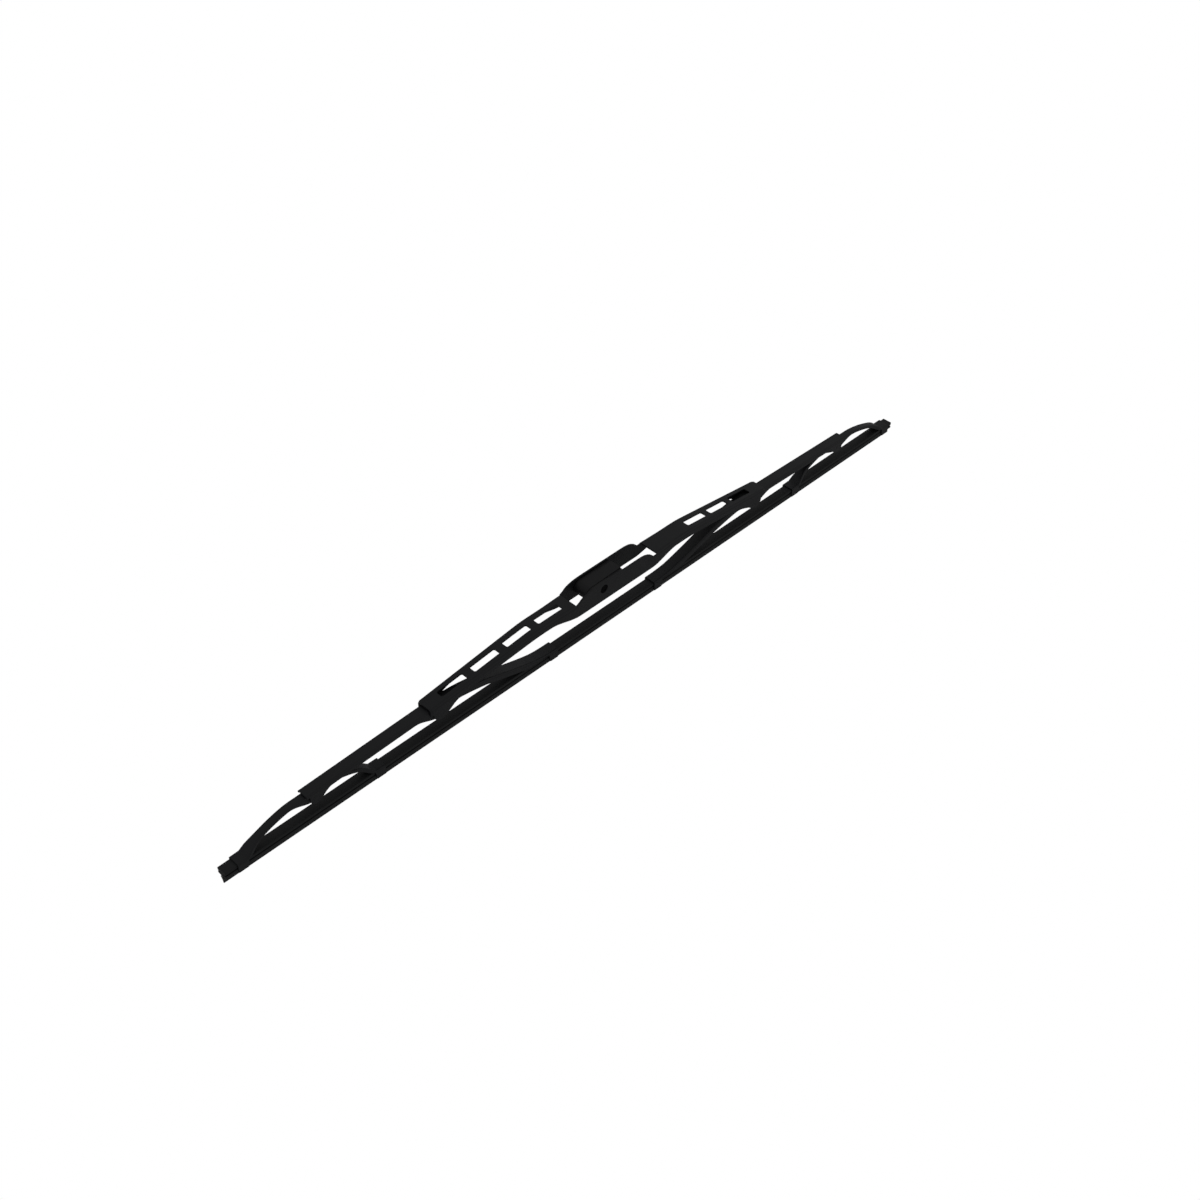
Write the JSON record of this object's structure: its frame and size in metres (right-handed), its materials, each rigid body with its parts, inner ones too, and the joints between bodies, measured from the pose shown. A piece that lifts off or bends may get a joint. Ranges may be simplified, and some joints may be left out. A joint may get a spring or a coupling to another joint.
{
  "type": "windscreen wiper blade",
  "caption": "Windscreen wiper blade for a hook arm: a windowed steel bridge with pivoting levers and yokes whose claws press a rubber squeegee along the glass.",
  "frame": {"origin": "middle of the cross pin that the arm's adapter turns on", "axes": "+X along the blade, towards the bridge arm with the longer plain stretch; +Y across the blade, along the pin; +Z away from the glass"},
  "size_m": [0.55, 0.015, 0.0422],
  "materials": {
    "painted_steel": "satin black powder coat",
    "black_plastic": "moulded, matt",
    "black_nylon": "moulded, matt",
    "black_rubber": "graphite-coated, matt",
    "spring_steel": "blued"
  },
  "bodies": {
    "bridge": {"bridge": "painted_steel", "arm_pin": "painted_steel", "lever_pin_left": "painted_steel", "lever_pin_right": "painted_steel", "squeegee": "black_rubber", "backing_strip_near": "spring_steel", "backing_strip_far": "spring_steel"},
    "adapter": {"arm_adapter": "black_plastic"},
    "lever_left": {"lever_left": "painted_steel", "lever_bush_left_near": "black_nylon", "lever_bush_left_far": "black_nylon", "yoke_pin_left": "painted_steel"},
    "yoke_left": {"yoke_left": "painted_steel", "yoke_bush_left_near": "black_nylon", "yoke_bush_left_far": "black_nylon"},
    "lever_right": {"lever_right": "painted_steel", "lever_bush_right_near": "black_nylon", "lever_bush_right_far": "black_nylon", "yoke_pin_right": "painted_steel"},
    "yoke_right": {"yoke_right": "painted_steel", "yoke_bush_right_near": "black_nylon", "yoke_bush_right_far": "black_nylon"}
  },
  "joints": [
    {"name": "adapter_pivot", "type": "hinge", "parent": "bridge", "child": "adapter", "pos_m": [0, 0, 0], "axis": [0, 1, 0], "range_deg": [-90, 30]},
    {"name": "lever_pivot_left", "type": "hinge", "parent": "bridge", "child": "lever_left", "pos_m": [-0.125, 0, -0.0131], "axis": [0, -1, 0], "range_deg": [-4, 6], "stiffness_Nm_per_rad": 0.6, "deforming": ["squeegee", "backing_strip_near", "backing_strip_far"]},
    {"name": "yoke_pivot_left", "type": "hinge", "parent": "lever_left", "child": "yoke_left", "pos_m": [-0.2095, 0, -0.0168], "axis": [0, -1, 0], "range_deg": [-3, 5], "stiffness_Nm_per_rad": 0.3},
    {"name": "lever_pivot_right", "type": "hinge", "parent": "bridge", "child": "lever_right", "pos_m": [0.137, 0, -0.0131], "axis": [0, 1, 0], "range_deg": [-4, 6], "stiffness_Nm_per_rad": 0.6},
    {"name": "yoke_pivot_right", "type": "hinge", "parent": "lever_right", "child": "yoke_right", "pos_m": [0.2215, 0, -0.0168], "axis": [0, 1, 0], "range_deg": [-3, 5], "stiffness_Nm_per_rad": 0.3}
  ]
}
